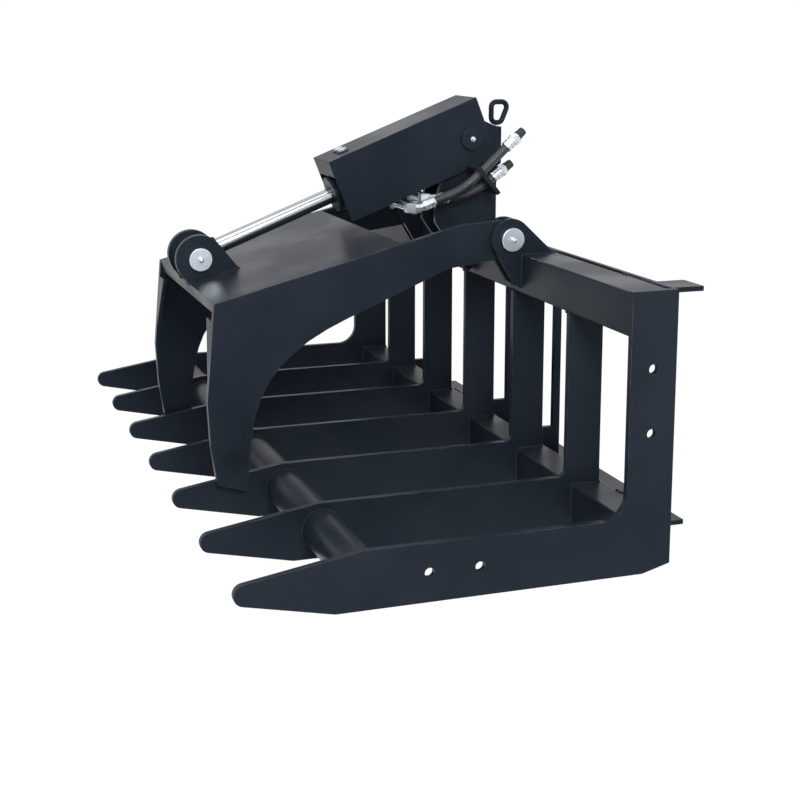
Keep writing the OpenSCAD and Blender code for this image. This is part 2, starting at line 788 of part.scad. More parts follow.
// Folded sheet cover with a short flange at the front
module cylinder_cover() {
    len = cover_front + cover_back;
    color(paint) on_cylinder() difference() {
        translate([-cover_w / 2, -cover_front, -cover_down]) cube([cover_w, len, cover_up + cover_down]);
        translate([-cover_w / 2 + cover_t, -cover_front + cover_t, -cover_down - over])
            cube([cover_w - 2 * cover_t, len, cover_up + cover_down - cover_t + over]);
        translate([-cover_w / 2 + cover_t, -cover_front - over, -cover_down - over])
            cube([cover_w - 2 * cover_t, cover_t + 2 * over, cover_up + cover_down - cover_lip_h + over]);
        translate([-cover_w / 2 - over, 0, 0]) rotate([0, 90, 0])
            cylinder(r = base_pin_r + run_fit, h = cover_w + 2 * over);
    }
}

saddle_w = 50;
saddle_l = 40;
saddle_s = 272;
module cover_saddle() {
    color(paint) on_cylinder() difference() {
        translate([-saddle_w / 2, -saddle_s, 0]) cube([saddle_w, saddle_l, cover_up - cover_t]);
        axial(0, gland_out, barrel_d / 2);
    }
}

module cover_bolts() {
    color(zinc) on_cylinder() for (s = [-1, 1])
        translate([s * saddle_w / 4, saddle_l / 2 - saddle_s, cover_up])
            cylinder(r = bolt_r * 2, h = bolt_head_h, $fn = 6);
}

module rod() {
    color(zinc) on_cylinder() axial(piston_start + piston_len, cyl_len - rod_eye_r - rod_neck_len, rod_d / 2);
}

module piston() {
    r = bore_d / 2 - run_fit;
    groove = piston_start + (piston_len - ring_w) / 2;
    color(zinc) on_cylinder() difference() {
        axial(piston_start, piston_start + piston_len, r);
        difference() {
            axial(groove, groove + ring_w, r + over);
            axial(groove - over, groove + ring_w + over, r - ring_depth);
        }
    }
}

module piston_ring() {
    r = bore_d / 2 - run_fit;
    groove = piston_start + (piston_len - ring_w) / 2;
    color(rubber) on_cylinder() difference() {
        axial(groove, groove + ring_w, r);
        axial(groove - over, groove + ring_w + over, r - ring_depth);
    }
}

module rod_eye() {
    neck = cyl_len - rod_eye_r - rod_neck_len;
    color(paint) on_cylinder() difference() {
        union() {
            translate([-eye_w / 2, -cyl_len, 0]) rotate([0, 90, 0]) cylinder(r = rod_eye_r, h = eye_w);
            axial(neck, cyl_len - rod_eye_r / 2, rod_neck_r);
        }
        translate([-eye_w / 2 - over, -cyl_len, 0]) rotate([0, 90, 0])
            cylinder(r = rod_pin_r + rod_eye_play, h = eye_w + 2 * over);
    }
}

end_plate(end_x);  // end_plate_right
end_plate(-end_x);  // end_plate_left
inner_tine(2 * tine_pitch);  // tine_1
inner_tine(tine_pitch);  // tine_2
inner_tine(0);  // tine_3
inner_tine(-tine_pitch);  // tine_4
inner_tine(-2 * tine_pitch);  // tine_5
top_tube_bar();  // top_tube
rear_tube_bar();  // rear_tube
nose_tube();
attach_top_rail();
attach_bottom_lip();
attach_webs();
lid_ears(1);  // lid_ears_right
lid_ears(-1);  // lid_ears_left
pivot_pin(1);  // pivot_pin_right
pivot_pin(-1);  // pivot_pin_left
pivot_keepers();
tower_plate(1);  // tower_plate_right
tower_plate(-1);  // tower_plate_left
tower_brace();
base_pin();
base_pin_keeper();
hose_guide();
hose_clamp();
hose_1_tube();  // hose_1
hose_2_tube();  // hose_2
hose_couplers();
lid_arm(1);  // lid_arm_right
lid_arm(-1);  // lid_arm_left
lid_plate();
lid_gussets();
pivot_bushes();
rod_lug(1);  // rod_lug_right
rod_lug(-1);  // rod_lug_left
rod_pin();
rod_pin_keeper();
barrel();
base_eye();
base_eye_bush();
gland();
rod_seal();
port_fittings();
rod_port_line();
cylinder_cover();
cover_saddle();
cover_bolts();
rod();
piston();
piston_ring();
rod_eye();
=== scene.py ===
import json
import math
import bmesh
import bpy
import numpy as np
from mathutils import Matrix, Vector


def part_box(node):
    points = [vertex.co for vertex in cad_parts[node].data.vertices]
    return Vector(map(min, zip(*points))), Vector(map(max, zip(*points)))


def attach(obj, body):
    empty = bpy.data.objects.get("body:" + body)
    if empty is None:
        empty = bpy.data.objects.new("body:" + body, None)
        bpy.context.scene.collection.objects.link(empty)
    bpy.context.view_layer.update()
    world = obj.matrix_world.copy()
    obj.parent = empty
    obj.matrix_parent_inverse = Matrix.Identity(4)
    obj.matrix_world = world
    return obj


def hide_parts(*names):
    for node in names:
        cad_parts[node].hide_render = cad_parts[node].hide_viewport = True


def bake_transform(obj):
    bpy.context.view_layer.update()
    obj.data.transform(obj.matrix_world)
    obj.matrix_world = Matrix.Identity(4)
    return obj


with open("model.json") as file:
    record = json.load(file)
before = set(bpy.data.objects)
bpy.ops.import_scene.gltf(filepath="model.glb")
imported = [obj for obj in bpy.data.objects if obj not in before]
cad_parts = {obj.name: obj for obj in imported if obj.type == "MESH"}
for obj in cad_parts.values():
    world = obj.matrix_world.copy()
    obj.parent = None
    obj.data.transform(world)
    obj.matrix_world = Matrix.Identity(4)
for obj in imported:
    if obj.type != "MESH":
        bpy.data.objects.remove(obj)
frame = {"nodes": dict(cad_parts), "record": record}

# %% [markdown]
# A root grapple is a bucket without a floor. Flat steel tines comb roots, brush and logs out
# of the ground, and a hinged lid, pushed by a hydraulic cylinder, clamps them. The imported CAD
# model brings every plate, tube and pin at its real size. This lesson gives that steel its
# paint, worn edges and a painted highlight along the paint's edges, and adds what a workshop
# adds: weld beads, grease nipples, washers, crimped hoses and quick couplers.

MM = 0.001
scene = bpy.context.scene
joints = {joint["name"]: joint for joint in frame["record"]["behaviour"]["joints"]}
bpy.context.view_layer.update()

# %% [markdown]
# The photograph was taken from the right of the tines and a little above them. A camera can be
# placed by eye, but then every later comparison is a guess. This one was fitted to corners of
# the tines whose real places are known, so its place, heading and focal length are sizes too.
# The uprights hardly lean together in the photograph, which takes a small shift of the lens.

# %% Camera
PHOTO_PIXELS = 800
FOCAL_PIXELS = 1467.3
AXIS_PIXELS_UP = 80
SENSOR_MM = 36.0
CAMERA_PLACE = (2.871, -0.9149, 0.9068)
CAMERA_HEADING = 70.892
CAMERA_DOWN = 11.134

camera_data = bpy.data.cameras.new("photo_camera")
camera_data.sensor_width = SENSOR_MM
camera_data.lens = SENSOR_MM * FOCAL_PIXELS / PHOTO_PIXELS
camera_data.shift_y = -AXIS_PIXELS_UP / PHOTO_PIXELS
camera = bpy.data.objects.new("photo_camera", camera_data)
camera.location = CAMERA_PLACE
camera.rotation_euler = (math.radians(90 - CAMERA_DOWN), 0, math.radians(CAMERA_HEADING))
scene.collection.objects.link(camera)
scene.camera = camera
print("lens, mm:", round(camera_data.lens, 2))

# %% [markdown]
# Black gloss paint shows mostly what it reflects, so the light is the finish. A photographer
# would put the grapple in a white tent. Here the world is that tent: plain white where the
# camera or a reflection looks at it, and softer where it only lights the steel.

# %% Shader helpers
def new_material(name):
    """An empty node material, and a short way to add nodes to it."""
    material = bpy.data.materials.new(name)
    material.use_nodes = True
    tree = material.node_tree
    tree.nodes.clear()
    return material, tree, tree.nodes.new


def seen_rays(tree, add):
    """1 for rays that show a surface: camera, reflection and glass. 0 for light."""
    path = add("ShaderNodeLightPath")
    total = path.outputs["Is Camera Ray"]
    for ray in ("Is Glossy Ray", "Is Transmission Ray"):
        either = add("ShaderNodeMath")
        either.operation = "MAXIMUM"
        tree.links.new(total, either.inputs[0])
        tree.links.new(path.outputs[ray], either.inputs[1])
        total = either.outputs[0]
    return total


# %% World and lamps
TENT_LIGHT = 0.42
TENT_COLOUR = (0.95, 0.97, 1.0, 1)
WHITE = (1, 1, 1, 1)

scene.view_settings.view_transform = "Standard"
world = bpy.data.worlds.new("studio")
world.use_nodes = True
tree, add = world.node_tree, world.node_tree.nodes.new
tree.nodes.clear()
tent = add("ShaderNodeBackground")
tent.inputs["Color"].default_value = TENT_COLOUR
tent.inputs["Strength"].default_value = TENT_LIGHT
backdrop = add("ShaderNodeBackground")
backdrop.inputs["Color"].default_value = WHITE
backdrop.inputs["Strength"].default_value = 1.0
choose = add("ShaderNodeMixShader")
surface = add("ShaderNodeOutputWorld")
tree.links.new(seen_rays(tree, add), choose.inputs[0])
tree.links.new(tent.outputs[0], choose.inputs[1])
tree.links.new(backdrop.outputs[0], choose.inputs[2])
tree.links.new(choose.outputs[0], surface.inputs["Surface"])
scene.world = world


def softbox(name, place, aim, size, watts):
    """A square lamp that faces the point aim."""
    lamp = bpy.data.lights.new(name, "AREA")
    lamp.size = size
    lamp.energy = watts
    holder = bpy.data.objects.new(name, lamp)
    holder.location = place
    holder.rotation_euler = (Vector(aim) - Vector(place)).to_track_quat("-Z", "Y").to_euler()
    scene.collection.objects.link(holder)


GRAPPLE_MIDDLE = (0, 0, 0.3)
softbox("softbox_high", place=(0.8, -1.6, 3.2), aim=GRAPPLE_MIDDLE, size=2.2, watts=30)
softbox("softbox_side", place=(3.3, -0.5, 2.0), aim=GRAPPLE_MIDDLE, size=1.0, watts=60)

# %% Floor
FLOOR_HALF = 14.0
FLOOR_DROP = 0.0005
FLOOR_GLOW = 0.82
FLOOR_WHITE = 1.16
FLOOR_GREY = (0.82, 0.82, 0.82, 1)

floor_material, tree, add = new_material("studio_floor")
matt = add("ShaderNodeBsdfDiffuse")
matt.inputs["Color"].default_value = FLOOR_GREY
glow = add("ShaderNodeEmission")
glow.inputs["Strength"].default_value = FLOOR_WHITE
share = add("ShaderNodeMath")
share.operation = "MULTIPLY"
share.inputs[1].default_value = FLOOR_GLOW
tree.links.new(seen_rays(tree, add), share.inputs[0])
blend = add("ShaderNodeMixShader")
tree.links.new(share.outputs[0], blend.inputs[0])
tree.links.new(matt.outputs[0], blend.inputs[1])
tree.links.new(glow.outputs[0], blend.inputs[2])
tree.links.new(blend.outputs[0], add("ShaderNodeOutputMaterial").inputs["Surface"])

floor_mesh = bpy.data.meshes.new("floor")
floor_mesh.from_pydata(
    [(x * FLOOR_HALF, y * FLOOR_HALF, -FLOOR_DROP) for x, y in ((-1, -1), (1, -1), (1, 1), (-1, 1))],
    [], [(0, 1, 2, 3)])
floor_mesh.materials.append(floor_material)
floor = bpy.data.objects.new("floor", floor_mesh)
scene.collection.objects.link(floor)
print("floor, metres across:", 2 * FLOOR_HALF)

# %% [markdown]
# Three effects turn up on more than one finish, so each is one shader group. Patches are slow
# changes from place to place, such as uneven gloss. Edges are brighter where corners rub, and
# on the gloss paint the brighter edge is also a painted highlight, the light that a rounded
# edge would catch: the Bevel node rounds the normal near an edge, and the difference from the
# flat normal says how close that edge is. Settled dust lies on what faces up.

# %% Group: patches
def start_group(name, floats, outputs):
    """A shader group with named number inputs, and Object coordinates ready to use."""
    group = bpy.data.node_groups.new(name, "ShaderNodeTree")
    for label, value in floats.items():
        socket = group.interface.new_socket(label, in_out="INPUT", socket_type="NodeSocketFloat")
        socket.default_value = value
    for label in outputs:
        group.interface.new_socket(label, in_out="OUTPUT", socket_type="NodeSocketFloat")
    way_in = group.nodes.new("NodeGroupInput")
    way_out = group.nodes.new("NodeGroupOutput")
    place = group.nodes.new("ShaderNodeTexCoord").outputs["Object"]
    return group, way_in, way_out, place


def ramp(group, source, low, high):
    """Stretches the values between low and high to 0 and 1."""
    stretch = group.nodes.new("ShaderNodeMapRange")
    stretch.interpolation_type = "SMOOTHSTEP"
    stretch.inputs["From Min"].default_value = low
    stretch.inputs["From Max"].default_value = high
    group.links.new(source, stretch.inputs["Value"])
    return stretch.outputs["Result"]


def times(group, first, second):
    """Product of two values."""
    product = group.nodes.new("ShaderNodeMath")
    product.operation = "MULTIPLY"
    group.links.new(first, product.inputs[0])
    group.links.new(second, product.inputs[1])
    return product.outputs[0]


def noise(group, place, scale, detail=4.0):
    """Noise of a given number of features per metre."""
    texture = group.nodes.new("ShaderNodeTexNoise")
    texture.inputs["Detail"].default_value = detail
    if isinstance(scale, (int, float)):
        texture.inputs["Scale"].default_value = scale
    else:
        group.links.new(scale, texture.inputs["Scale"])
    group.links.new(place, texture.inputs["Vector"])
    return texture.outputs["Fac"]


FINE_PER_METRE = 900.0

patches, way_in, way_out, place = start_group("patches", {"Per metre": 9.0}, ("Broad", "Fine"))
broad = noise(patches, place, way_in.outputs["Per metre"])
patches.links.new(ramp(patches, broad, low=0.35, high=0.65), way_out.inputs["Broad"])
patches.links.new(noise(patches, place, FINE_PER_METRE, detail=2.0), way_out.inputs["Fine"])
print("group:", patches.name)

# %% Group: worn edges and painted edge highlight
EDGE_PATCHES_PER_METRE = 26.0
BEVEL_SAMPLES = 4

# Mask of brighter edges: wear on metal, and on the gloss paint also a painted highlight.
wear_highlight_group, way_in, way_out, place = start_group("worn_edges", {"Reach": 0.0016}, ("Mask",))
rounded = wear_highlight_group.nodes.new("ShaderNodeBevel")
rounded.samples = BEVEL_SAMPLES
wear_highlight_group.links.new(way_in.outputs["Reach"], rounded.inputs["Radius"])
flat = wear_highlight_group.nodes.new("ShaderNodeNewGeometry")
agree = wear_highlight_group.nodes.new("ShaderNodeVectorMath")
agree.operation = "DOT_PRODUCT"
wear_highlight_group.links.new(rounded.outputs["Normal"], agree.inputs[0])
wear_highlight_group.links.new(flat.outputs["Normal"], agree.inputs[1])
edge = ramp(wear_highlight_group, agree.outputs["Value"], low=0.995, high=0.85)
uneven_edge = ramp(wear_highlight_group, noise(wear_highlight_group, place, EDGE_PATCHES_PER_METRE, detail=6.0), low=0.40, high=0.62)
wear_highlight_group.links.new(times(wear_highlight_group, edge, uneven_edge), way_out.inputs["Mask"])
print("group:", wear_highlight_group.name)

# %% Group: settled dust
DUST_PER_METRE = 14.0

dust, way_in, way_out, place = start_group("settled_dust", {"Amount": 0.5}, ("Mask",))
facing = dust.nodes.new("ShaderNodeNewGeometry")
parts = dust.nodes.new("ShaderNodeSeparateXYZ")
dust.links.new(facing.outputs["Normal"], parts.inputs[0])
upward = ramp(dust, parts.outputs["Z"], low=0.55, high=1.0)
drift = ramp(dust, noise(dust, place, DUST_PER_METRE, detail=8.0), low=0.38, high=0.72)
settled = times(dust, upward, drift)
dust.links.new(times(dust, settled, way_in.outputs["Amount"]), way_out.inputs["Mask"])
print("group:", dust.name)

# %% [markdown]
# Each finish is one Principled shader. The groups only steer its colour, roughness and bump.
# The paint is nearly black, a little blue, and glossy: on steel plate it flows into a faint
# orange peel. Zinc is a duller metal with crystal patches, and chrome is a clean mirror.

# %% Finish helper
DUST_COLOUR = (0.16, 0.145, 0.12)


def use_group(tree, group, **values):
    """Places a shared group with this finish's own numbers."""
    node = tree.nodes.new("ShaderNodeGroup")
    node.node_tree = group
    for label, value in values.items():
        node.inputs[label.replace("_", " ")].default_value = value
    return node.outputs


def mix_colour(tree, mask, plain, changed):
    """One colour where the mask is 0, another where it is 1; plain may be a socket."""
    mix = tree.nodes.new("ShaderNodeMix")
    mix.data_type = "RGBA"
    tree.links.new(mask, mix.inputs["Factor"])
    if isinstance(plain, tuple):
        mix.inputs["A"].default_value = (*plain, 1)
    else:
        tree.links.new(plain, mix.inputs["A"])
    mix.inputs["B"].default_value = (*changed, 1)
    return mix.outputs["Result"]


def scaled(tree, mask, low, high):
    """Turns a 0 to 1 mask into a value between low and high."""
    stretch = tree.nodes.new("ShaderNodeMapRange")
    stretch.inputs["To Min"].default_value = low
    stretch.inputs["To Max"].default_value = high
    tree.links.new(mask, stretch.inputs["Value"])
    return stretch.outputs["Result"]


def bump(tree, height, depth):
    """A normal that follows a height given in metres."""
    node = tree.nodes.new("ShaderNodeBump")
    node.inputs["Strength"].default_value = 1.0
    node.inputs["Distance"].default_value = depth
    tree.links.new(height, node.inputs["Height"])
    return node.outputs["Normal"]


def metal_or_paint(name, base, patch, edge, rough, rough_edge, peel, metallic=0.0, dusty=0.0,
                   per_metre=9.0, reach=0.0016, specular=0.5, tint=(1, 1, 1)):
    """A finish: base colour, its patches, its brighter edges (wear, and on the gloss paint a painted
    highlight), dust, and a fine bump.
    """
    material, tree, add = new_material(name)
    shader = add("ShaderNodeBsdfPrincipled")
    shader.inputs["Metallic"].default_value = metallic
    shader.inputs["Specular IOR Level"].default_value = specular
    shader.inputs["Specular Tint"].default_value = (*tint, 1)
    field = use_group(tree, patches, Per_metre=per_metre)
    wear_and_highlight = use_group(tree, wear_highlight_group, Reach=reach)["Mask"]
    colour = mix_colour(tree, field["Broad"], base, patch)
    # Edge colour: wear, and for the gloss paint also a painted highlight.
    colour = mix_colour(tree, wear_and_highlight, colour, edge)
    if dusty:
        fall = use_group(tree, dust, Amount=dusty)["Mask"]
        colour = mix_colour(tree, fall, colour, DUST_COLOUR)
    roughness = scaled(tree, field["Broad"], *rough)
    worn_rough = add("ShaderNodeMix")
    tree.links.new(wear_and_highlight, worn_rough.inputs["Factor"])
    tree.links.new(roughness, worn_rough.inputs["A"])
    worn_rough.inputs["B"].default_value = rough_edge
    tree.links.new(colour, shader.inputs["Base Color"])
    tree.links.new(worn_rough.outputs["Result"], shader.inputs["Roughness"])
    tree.links.new(bump(tree, field["Fine"], peel), shader.inputs["Normal"])
    tree.links.new(shader.outputs[0], add("ShaderNodeOutputMaterial").inputs["Surface"])
    return material


# %% Steel finishes
PAINT_TINT = (0.60, 0.76, 1.0)
finish = {
    # The gloss paint's edge colour is partly wear and partly a painted highlight: light that rounded
    # edges catch.
    "gloss_paint": metal_or_paint(
        "gloss_paint", base=(0.0135, 0.0190, 0.0275), patch=(0.0190, 0.0245, 0.0340),
        edge=(0.120, 0.125, 0.138), rough=(0.30, 0.42), rough_edge=0.46, peel=0.00002,
        dusty=0.05, per_metre=7.0, specular=0.13, tint=PAINT_TINT),
    "zinc_steel": metal_or_paint(
        "zinc_steel", base=(0.70, 0.75, 0.82), patch=(0.58, 0.63, 0.70), edge=(0.80, 0.83, 0.87),
        rough=(0.28, 0.42), rough_edge=0.24, peel=0.00003, metallic=1.0, per_metre=60.0,
        reach=0.0010),
    "chrome_rod": metal_or_paint(
        "chrome_rod", base=(0.50, 0.51, 0.54), patch=(0.45, 0.46, 0.49), edge=(0.60, 0.61, 0.63),
        rough=(0.05, 0.11), rough_edge=0.16, peel=0.000004, metallic=1.0, per_metre=30.0,
        reach=0.0008),
    "bush_bronze": metal_or_paint(
        "bush_bronze", base=(0.52, 0.34, 0.13), patch=(0.42, 0.26, 0.10), edge=(0.68, 0.50, 0.24),
        rough=(0.30, 0.45), rough_edge=0.22, peel=0.00003, metallic=1.0, per_metre=80.0,
        reach=0.0008),
    "seal_rubber": metal_or_paint(
        "seal_rubber", base=(0.012, 0.012, 0.013), patch=(0.020, 0.020, 0.021),
        edge=(0.035, 0.035, 0.036), rough=(0.45, 0.60), rough_edge=0.60, peel=0.00004,
        per_metre=120.0, reach=0.0006),
}
weld_paint = metal_or_paint(
    "weld_paint", base=(0.0120, 0.0165, 0.0240), patch=(0.017, 0.021, 0.029),
    edge=(0.08, 0.085, 0.095), rough=(0.30, 0.42), rough_edge=0.45, peel=0.00006,
    dusty=0.08, per_metre=40.0, reach=0.0008, specular=0.20, tint=PAINT_TINT)
print("finishes:", sorted(finish))

# %% Hose rubber
# A hose is cured inside a wrap of tape, which leaves fine slanted marks round it.
TAPE_SCALE = 46.0
TAPE_DEPTH = 0.00012

hose_material, tree, add = new_material("hose_rubber")
shader = add("ShaderNodeBsdfPrincipled")
shader.inputs["Specular IOR Level"].default_value = 0.45
along = add("ShaderNodeUVMap")
along.uv_map = "along"
tape = add("ShaderNodeTexWave")
tape.wave_type = "BANDS"
tape.bands_direction = "DIAGONAL"
tape.inputs["Scale"].default_value = TAPE_SCALE
tape.inputs["Distortion"].default_value = 0.6
tree.links.new(along.outputs["UV"], tape.inputs["Vector"])
field = use_group(tree, patches, Per_metre=34.0)
tree.links.new(
    mix_colour(tree, field["Broad"], (0.024, 0.027, 0.033), (0.040, 0.043, 0.050)),
    shader.inputs["Base Color"])
tree.links.new(scaled(tree, field["Broad"], 0.30, 0.48), shader.inputs["Roughness"])
tree.links.new(bump(tree, tape.outputs["Fac"], TAPE_DEPTH), shader.inputs["Normal"])
tree.links.new(shader.outputs[0], add("ShaderNodeOutputMaterial").inputs["Surface"])
finish["hose_rubber"] = hose_material
print("hose finish:", hose_material.name)

# %% [markdown]
# Plate that was cut by plasma and then ground has a small round on each edge, and that round
# catches the light. The CAD edges are razor sharp. A Geometry Nodes modifier joins each node's
# loose triangles and smooths its curves, and a Bevel modifier turns the real corners. Neither
# touches the CAD mesh itself, so sizes stay as they were.

# %% Rounded plate edges
BEVEL_ANGLE = math.radians(38)
FLAT_ANGLE = math.radians(0.4)
EDGE_ROUND = 0.9 * MM
FOLD_ROUND = 1.8 * MM
TUBE_ROUND = 4.0 * MM
PIN_ROUND = 1.4 * MM
ROUND_STEPS = 2
JOIN_DISTANCE = 0.01 * MM


def joined_surface():
    """Tree that merges loose triangles and shades them smooth."""
    group = bpy.data.node_groups.new("joined_surface", "GeometryNodeTree")
    group.interface.new_socket("Geometry", in_out="INPUT", socket_type="NodeSocketGeometry")
    group.interface.new_socket("Geometry", in_out="OUTPUT", socket_type="NodeSocketGeometry")
    current = group.nodes.new("NodeGroupInput").outputs["Geometry"]
    forget = group.nodes.new("GeometryNodeRemoveAttribute")
    forget.inputs["Name"].default_value = "custom_normal"
    merge = group.nodes.new("GeometryNodeMergeByDistance")
    merge.inputs["Distance"].default_value = JOIN_DISTANCE
    soft_edges = group.nodes.new("GeometryNodeSetShadeSmooth")
    soft_edges.domain = "EDGE"
    soft_faces = group.nodes.new("GeometryNodeSetShadeSmooth")
    for step in (forget, merge, soft_edges, soft_faces):
        group.links.new(current, step.inputs["Geometry"])
        current = step.outputs["Geometry"]
    group.links.new(current, group.nodes.new("NodeGroupOutput").inputs["Geometry"])
    return group


join_tree = joined_surface()


def round_edges(piece, width):
    """Joins a CAD node's triangles and rounds its corners."""
    piece.modifiers.new("join", "NODES").node_group = join_tree
    facets = piece.modifiers.new("flat_faces", "DECIMATE")
    facets.decimate_type = "DISSOLVE"
    facets.angle_limit = FLAT_ANGLE
    corner = piece.modifiers.new("round", "BEVEL")
    corner.width = width
    corner.segments = ROUND_STEPS
    corner.limit_method = "ANGLE"
    corner.angle_limit = BEVEL_ANGLE
    corner.harden_normals = True


finish_of = {part["node"]: part["material_slot"] for part in frame["record"]["subparts"]}
edge_width = {"cylinder_cover": FOLD_ROUND, "top_tube": TUBE_ROUND, "rear_tube": TUBE_ROUND}
for name, piece in frame["nodes"].items():
    slot = finish_of[name]
    for material_slot in piece.material_slots:
        material_slot.material = finish[slot]
    is_pin = slot == "zinc_steel" and "pin" in name
    round_edges(piece, edge_width.get(name, PIN_ROUND if is_pin else EDGE_ROUND))
print("dressed", len(frame["nodes"]), "CAD nodes")

# %% [markdown]
# Every joint between plate and tube is welded, and a weld bead is a row of overlapping
# ripples where the puddle froze step by step. Drawing each one by hand is hopeless, but the
# rule is simple: walk along the seam and set down one flattened ball every few millimetres.
# That is what this Geometry Nodes tree does with any set of lines.

# %% Measures of CAD nodes
def low(node):
    """Lowest corner of a CAD node."""
    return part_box(node)[0]


def high(node):
    """Highest corner of a CAD node."""
    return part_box(node)[1]


def points(node):
    """A CAD node's corners as an array, in metres."""
    return np.array([corner.co for corner in frame["nodes"][node].data.vertices])


def plate_faces(node):
    """Where the flat sides of a node's upright plates stand across the grapple."""
    return sorted(set(np.round(points(node)[:, 0], 4).tolist()))


# %% Geometry Nodes: weld bead
def add_inputs(group, **kinds):
    """Named inputs of a Geometry Nodes tree, and its geometry output."""
    for label, kind in kinds.items():
        group.interface.new_socket(
            label.replace("_", " "), in_out="INPUT", socket_type="NodeSocket" + kind)
    group.interface.new_socket("Geometry", in_out="OUTPUT", socket_type="NodeSocketGeometry")
    way_in, way_out = group.nodes.new("NodeGroupInput"), group.nodes.new("NodeGroupOutput")
    return way_in.outputs, way_out.inputs["Geometry"]


def chain(group, geometry, *steps):
    """Runs geometry through nodes one after another."""
    for step in steps:
        entry = next(socket for socket in step.inputs if socket.type == "GEOMETRY")
        group.links.new(geometry, entry)
        geometry = next(socket for socket in step.outputs if socket.type == "GEOMETRY")
    return geometry


RIPPLE_SIDES = 8
RIPPLE_RINGS = 5
SMALLEST_RIPPLE = (0.88, 0.88, 0.62)
LARGEST_RIPPLE = (1.12, 1.12, 0.78)


def bead_tree():
    """Tree that sets weld ripples along every line of a mesh."""
    group = bpy.data.node_groups.new("weld_bead", "GeometryNodeTree")
    given, way_out = add_inputs(
        group, Lines="Geometry", Pitch="Float", Radius="Float", Seed="Int", Finish="Material")
    node, link = group.nodes.new, group.links.new
    walk = node("GeometryNodeCurveToPoints")
    walk.mode = "LENGTH"
    link(given["Pitch"], walk.inputs["Length"])
    stations = chain(group, given["Lines"], node("GeometryNodeMeshToCurve"), walk)
    ripple = node("GeometryNodeMeshUVSphere")
    ripple.inputs["Segments"].default_value = RIPPLE_SIDES
    ripple.inputs["Rings"].default_value = RIPPLE_RINGS
    link(given["Radius"], ripple.inputs["Radius"])
    uneven = node("FunctionNodeRandomValue")
    uneven.data_type = "FLOAT_VECTOR"
    uneven.inputs["Min"].default_value = SMALLEST_RIPPLE
    uneven.inputs["Max"].default_value = LARGEST_RIPPLE
    link(given["Seed"], uneven.inputs["Seed"])
    lay = node("GeometryNodeInstanceOnPoints")
    link(ripple.outputs["Mesh"], lay.inputs["Instance"])
    link(walk.outputs["Rotation"], lay.inputs["Rotation"])
    link(uneven.outputs[0], lay.inputs["Scale"])
    link(stations, lay.inputs["Points"])
    coat = node("GeometryNodeSetMaterial")
    link(given["Finish"], coat.inputs["Material"])
    smooth = node("GeometryNodeSetShadeSmooth")
    real = node("GeometryNodeRealizeInstances")
    link(chain(group, lay.outputs["Instances"], real, smooth, coat), way_out)
    return group


def grown(name, start, group, body, **values):
    """Runs a tree on a mesh, keeps the result as a plain mesh piece, and lets it ride on a body."""
    seed_object = bpy.data.objects.new(name + "_start", start)
    scene.collection.objects.link(seed_object)
    grow = seed_object.modifiers.new("grow", "NODES")
    grow.node_group = group
    for item in group.interface.items_tree:
        label = item.name.replace(" ", "_")
        if item.in_out == "INPUT" and label in values:
            grow[item.identifier] = values[label]
    bpy.context.view_layer.update()
    evaluated = seed_object.evaluated_get(bpy.context.evaluated_depsgraph_get())
    mesh = bpy.data.meshes.new_from_object(evaluated)
    bpy.data.objects.remove(seed_object)
    mesh.name = name
    piece = bpy.data.objects.new(name, mesh)
    scene.collection.objects.link(piece)
    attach(piece, body)
    return piece


weld_tree = bead_tree()
WELD_PITCH = 3.4 * MM
WELD_RADIUS = 3.4 * MM


def weld(name, runs, body):
    """A weld along each run, a list of points."""
    lines = bpy.data.meshes.new(name)
    corners, edges = [], []
    for run in runs:
        first = len(corners)
        corners.extend(run)
        edges.extend((first + i, first + i + 1) for i in range(len(run) - 1))
    lines.from_pydata(corners, edges, [])
    piece = grown(
        name, lines, weld_tree, body,
        Pitch=WELD_PITCH, Radius=WELD_RADIUS, Seed=len(runs), Finish=weld_paint)
    print(name, "runs:", len(runs), "faces:", len(piece.data.polygons))
    return piece


# %% Welds of the tines and tubes
CIRCLE_STEPS = 40
top_low, top_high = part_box("top_tube")
rear_low, rear_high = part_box("rear_tube")
nose_middle = (low("nose_tube") + high("nose_tube")) / 2
nose_radius = (high("nose_tube").z - low("nose_tube").z) / 2
tines = ["tine_%d" % number for number in range(1, 6)]


def ring(x, middle, radius):
    """Closed circle across X."""
    turn = [2 * math.pi * step / CIRCLE_STEPS for step in range(CIRCLE_STEPS + 1)]
    return [(x, middle[1] + radius * math.cos(a), middle[2] + radius * math.sin(a)) for a in turn]


def outline(x, corner, opposite):
    """Closed rectangle across X."""
    (_, y0, z0), (_, y1, z1) = corner, opposite
    return [(x, y0, z0), (x, y1, z0), (x, y1, z1), (x, y0, z1), (x, y0, z0)]


riser_runs = []
floor_runs = []
nose_runs = []
for tine in tines:
    back = high(tine).y
    for x in plate_faces(tine):
        riser_runs.append([(x, top_low.y, top_low.z), (x, back, top_low.z)])
        floor_runs.append([(x, back, rear_high.z), (x, rear_low.y, rear_high.z),
                           (x, rear_low.y, rear_low.z), (x, back, rear_low.z)])
        nose_runs.append(ring(x, nose_middle, nose_radius))
for x in (high("top_tube").x, low("top_tube").x):
    nose_runs.append(ring(x, nose_middle, nose_radius))
    floor_runs.append(outline(x, rear_low, rear_high))
    riser_runs.append(outline(x, top_low, top_high))
weld("welds_risers", riser_runs, "frame")
weld("welds_floor_tube", floor_runs, "frame")
weld("welds_nose_tube", nose_runs, "frame")

